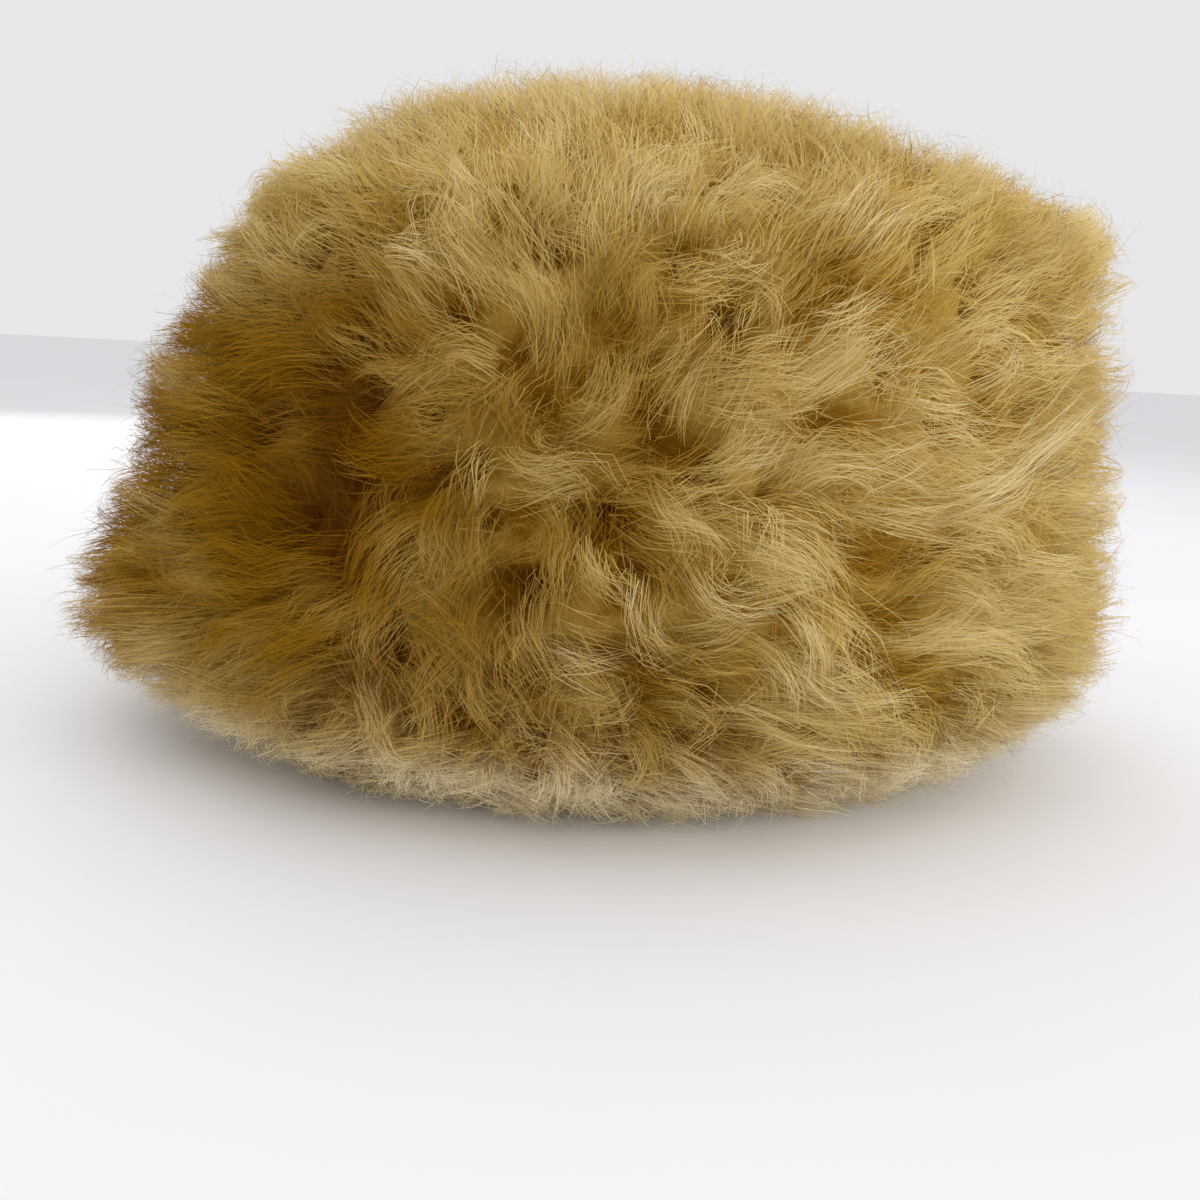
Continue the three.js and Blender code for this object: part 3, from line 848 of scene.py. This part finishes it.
def ribbons(rng, hairs, width, from_point=0):
    """Hairs as flat ribbons that taper to a point: width times 1, 0.95, 0.8, 0.5 and 0
    along the hair. A ribbon faces outwards, rolled about its own line by up to
    MOST_ROLL. Its shading normal leans to its own face by s^2, s running from 0.3 at
    the root to 1.2 at the tip, since a tip stands free. Returns points, corners, the
    number of corners of each face, normals, paleness and ochre_and_shade, both of
    which carry painted light and shade."""
    points, normals, pale = hairs
    points = above_floor(points)
    count, joints = pale.shape
    ahead = unit(np.gradient(points, axis=1))
    across = unit(np.cross(ahead, normals))
    over = np.cross(across, ahead)
    roll = rng.uniform(-MOST_ROLL, MOST_ROLL, count)[:, None, None]
    facing = over * np.cos(roll) - across * np.sin(roll)
    normals = unit(normals + facing * np.linspace(0.3, 1.2, joints)[:, None] ** 2)
    across = across * np.cos(roll) + over * np.sin(roll)
    taper = np.interp(np.linspace(0, 1, joints), [0, 0.25, 0.5, 0.75, 1], [1, 0.95, 0.8, 0.5, 0])
    half = width / 2 * rng.uniform(0.7, 1.3, count)[:, None] * taper
    half = half[..., None] * across
    pairs = np.stack([points - half, points + half], 2)[:, :-1]
    verts = np.concatenate([pairs.reshape(count, -1, 3), points[:, -1:]], 1)

    def spread(values):
        return np.concatenate([np.repeat(values[:, :-1], 2, axis=1), values[:, -1:]], 1)

    first = from_point + np.arange(count)[:, None] * (2 * joints - 1)
    quads = np.array([[2 * j, 2 * j + 1, 2 * j + 3, 2 * j + 2] for j in range(joints - 2)]).ravel()
    shape = np.concatenate([quads, [2 * joints - 4, 2 * joints - 3, 2 * joints - 2]])
    corners = (first + shape).ravel()
    sizes = np.tile([4] * (joints - 2) + [3], count)
    numbers = [np.clip(spread(each), 0, 1).ravel() for each in (pale, yellowing_and_flank_shade(points))]
    return verts.reshape(-1, 3), corners, sizes, spread(normals).reshape(-1, 3), *numbers


def hair_mesh(rng, name, groups, material):
    """One mesh of several groups of hairs, each with its width."""
    parts, total = [], 0
    for hairs, width in groups:
        parts.append(ribbons(rng, hairs, width, total))
        total += len(parts[-1][0])
    verts, corners, sizes, normals, pale, ochre_and_shade = (np.concatenate(part) for part in zip(*parts))
    starts = np.cumsum(sizes) - sizes
    shades = {"paleness": pale, "ochre_and_shade": ochre_and_shade}
    made = new_mesh(name, verts, corners, starts, normals, shades, material)
    made.visible_shadow = False  # real hairs are far finer and let the light through
    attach(made, "root")
    return made


lock_finish = wool_material("lock_wool", 260, 0)
rng = np.random.default_rng(7)


def places_in_rows(rows, in_row, first, last):
    """Places on the side between two angles in degrees: staggered rows, each place
    moved at random by up to 0.4 of the way to the next."""
    row, column = (each.ravel() for each in np.mgrid[0:rows, 0:in_row])
    across = (column + (row % 2) / 2 + rng.uniform(-0.4, 0.4, row.size)) / in_row
    angle = np.radians(first + (last - first) * across)
    return angle, (row + 0.5 + rng.uniform(-0.4, 0.4, row.size)) / rows * 1.02 + 0.01


side_quarters = (
    ("front_left_locks", 180, 270, 56),
    ("front_right_locks", 270, 360, 56),
    ("back_right_locks", 0, 90, 36),
    ("back_left_locks", 90, 180, 36),
)
for name, first, last, per_lock in side_quarters:
    # Looser wool lies under the locks and shows between them. It is painted a little browner, as
    # painted shade under the locks.
    angle, up = places_in_rows(20, 26, first, last)
    lines = lock_lines(rng, angle, up, 0.022, 1.4, 0.7, sunk=0.05)
    under = hairs_of(rng, lines, 28, 0.0095, 0.006, joints=3, wisps=8, tight=0.2)
    # Painted shade under the locks.
    under[2][:] -= 0.03
    angle, up = places_in_rows(20, 19, first, last)
    low = np.exp(-(((up - 0.42) / 0.28) ** 2))
    lines = lock_lines(rng, angle, up, 0.025 + 0.01 * low, 1.2, 0.4)
    tight = 0.35 + 0.35 * low
    locks = hairs_of(rng, lines, per_lock, 0.0085, 0.006, tight=tight)
    width = 0.0002 if last > 180 else 0.0003
    hair_mesh(rng, name, [(under, 0.00025), (locks, width)], lock_finish)

# ---------------------------------------------------------------- crown locks
# On the crown the wool is shorter and finer. It grows from the round panel and
# stands up in a soft plush, combed from front to back.
crown_finish = wool_material("crown_wool", 260, 0)
CROWN_LOCKS, CROWN_FILLERS = 430, 2000
CROWN_PALER = 0.03
number = np.arange(CROWN_LOCKS)
golden = number * (3 - math.sqrt(5)) * math.pi
crown_reach = np.sqrt((number + 0.5) / CROWN_LOCKS) + rng.uniform(-0.02, 0.02, CROWN_LOCKS)
crown_angle = (golden + rng.uniform(-0.1, 0.1, CROWN_LOCKS)) % TURN
crown_up = 2 - np.clip(crown_reach, 0.02, 1.0)
lines = lock_lines(rng, crown_angle, crown_up, 0.028, 1.2, 0.4, on_top=True, root=0.5)
hairs = hairs_of(rng, lines, 48, 0.011, 0.006, fray=0.25, tight=0.3)
hairs[2][:] += CROWN_PALER
fill_angle = rng.uniform(0, TURN, CROWN_FILLERS)
fill_up = 2 - np.sqrt(rng.uniform(0.001, 1, CROWN_FILLERS))
lines = lock_lines(rng, fill_angle, fill_up, 0.016, 1.5, 0.9, on_top=True, root=0.45)
filling = hairs_of(rng, lines, 4, 0.007, 0.005, wisps=4, tight=0.2, frizz=0.0002)
filling[2][:] += CROWN_PALER
hair_mesh(rng, "crown_locks", [(hairs, 0.00022), (filling, 0.00025)], crown_finish)

# ---------------------------------------------------------------- rim fringe
# Round the rim the wool hangs over the edge of the leather in a paler fringe, and
# hides the band's lower edge. The fringe is paler partly by its own colour and partly
# as painted light from the floor below.
fringe_finish = wool_material("fringe_wool", 260, 0)
FRINGE_LOCKS = 150
# Partly painted light from the floor.
FRINGE_PALE_AND_LIT = 0.2
fringe_place = np.arange(FRINGE_LOCKS) + rng.uniform(-0.4, 0.4, FRINGE_LOCKS)
fringe_angle = fringe_place / FRINGE_LOCKS * TURN
fringe_up = rng.uniform(0.07, 0.2, FRINGE_LOCKS)
lines = lock_lines(rng, fringe_angle, fringe_up, 0.032, 0.9, 0.35)
hairs = hairs_of(rng, lines, 76, 0.012, 0.008, fray=0.25, tight=0.4)
hairs[2][:] += FRINGE_PALE_AND_LIT
hair_mesh(rng, "rim_fringe", [(hairs, 0.00022)], fringe_finish)

# ---------------------------------------------------------------- stray hairs
# Single fine hairs stand off the wool all round and catch the light along the
# outline. They stand furthest off the side, and less towards the middle of the top.
stray_finish = wool_material("stray_wool", 260, 0)
STRAYS = 16000
stray_angle = rng.uniform(0, TURN, STRAYS)
stray_up = 2 * rng.random(STRAYS) ** 1.15
points, outs, depths, gap = lock_lines(rng, stray_angle, stray_up, 0.02, 2.0, 1.2, root=0.75)
reach = (0.001 + 0.01 * rng.random(STRAYS) ** 2) * np.clip(1.8 - 0.8 * stray_up, 0.3, 1)
lift = np.linspace(0, 1, STEPS) ** 1.5 * reach[:, None]
points = points + outs * lift[..., None]
lines = points, outs, depths, 0.3 * gap
hairs = hairs_of(rng, lines, 1, 0.004, 0.004, wisps=1, fray=0.6, frizz=0.0003)
hair_mesh(rng, "stray_hairs", [(hairs, 0.00014)], stray_finish)

# ---------------------------------------------------------------- floor and light
# A plain pale floor, flat and wide, under an even pale sky. Large soft lights
# stand at the front right, above, low in front and behind.


SPOKES = 96


def flat_disc(radii):
    """The floor: a flat disc facing up, of a pole and one ring of points per radius,
    each point at (r cos t, r sin t, 0)."""
    turn = np.arange(SPOKES) * TURN / SPOKES
    rings = [np.stack([r * np.cos(turn), r * np.sin(turn), 0 * turn], 1) for r in radii]
    points = np.concatenate([np.zeros((1, 3)), *rings])
    pairs = [(k, (k + 1) % SPOKES) for k in range(SPOKES)]
    faces = [(0, 1 + a, 1 + b) for a, b in pairs]
    for i in range(len(rings) - 1):
        low, high = 1 + SPOKES * i, 1 + SPOKES * (i + 1)
        faces += [(low + a, high + a, high + b, low + b) for a, b in pairs]
    mesh = bpy.data.meshes.new("floor")
    mesh.from_pydata(points.tolist(), [], faces)
    mesh.shade_smooth()
    made = bpy.data.objects.new("floor", mesh)
    bpy.context.scene.collection.objects.link(made)
    return made


floor_finish = bpy.data.materials.new("floor_paint")
floor_finish.use_nodes = True
nodes, links = floor_finish.node_tree.nodes, floor_finish.node_tree.links
paint = nodes["Principled BSDF"]
paint.inputs["Roughness"].default_value = 0.7
paint.inputs["Specular IOR Level"].default_value = 0.2
speckle = nodes.new("ShaderNodeTexNoise")
speckle.inputs["Scale"].default_value = 6
tint = nodes.new("ShaderNodeValToRGB")
tint.color_ramp.elements[0].color = (0.83, 0.83, 0.845, 1)
tint.color_ramp.elements[1].color = (0.87, 0.87, 0.885, 1)
place = nodes.new("ShaderNodeTexCoord")
links.new(place.outputs["Object"], speckle.inputs["Vector"])
links.new(speckle.outputs["Fac"], tint.inputs["Fac"])
links.new(tint.outputs["Color"], paint.inputs["Base Color"])
floor = flat_disc((0.4, 1.0, 3.0, 15.0))
floor.data.materials.append(floor_finish)

world = bpy.data.worlds.new("studio_air")
bpy.context.scene.world = world
world.use_nodes = True
world.node_tree.nodes["Background"].inputs["Color"].default_value = (0.98, 0.98, 1, 1)
world.node_tree.nodes["Background"].inputs["Strength"].default_value = 0.82
bpy.context.scene.view_settings.view_transform = "Standard"


def soft_light(name, place, size, power, colour):
    """A square area light at a place, turned to the hat's middle."""
    light = bpy.data.lights.new(name, "AREA")
    light.size = size
    light.energy = power
    light.color = colour
    made = bpy.data.objects.new(name, light)
    bpy.context.scene.collection.objects.link(made)
    made.location = place
    away = np.array(place) - np.array([0, 0, 0.12])
    flat = math.hypot(away[0], away[1])
    made.rotation_euler = (math.atan2(flat, away[2]), 0, math.atan2(away[0], -away[1]))
    return made


soft_light("window", (1.0, -1.0, 1.2), 1.2, 8, (1, 0.99, 0.97))
soft_light("ceiling", (0.1, 0.3, 1.9), 1.6, 5, (1, 1, 1))
soft_light("low_fill", (0.4, -1.3, 0.45), 0.9, 2, (1, 1, 1))
soft_light("back_fill", (-0.5, 1.5, 0.9), 1.4, 6, (1, 1, 1))

# The camera stands half a metre in front of the hat, a little over the floor, and
# looks down at it by some ten degrees, tilted slightly as the photo is.
lens = bpy.data.cameras.new("camera")
lens.sensor_width = 36
lens.lens = 42
lens.clip_start = 0.05
camera = bpy.data.objects.new("camera", lens)
bpy.context.scene.collection.objects.link(camera)
camera.location = (0, -0.56123, 0.14641)
camera.rotation_euler = (math.radians(79.873), math.radians(-2.89), math.radians(0.428))
bpy.context.scene.camera = camera
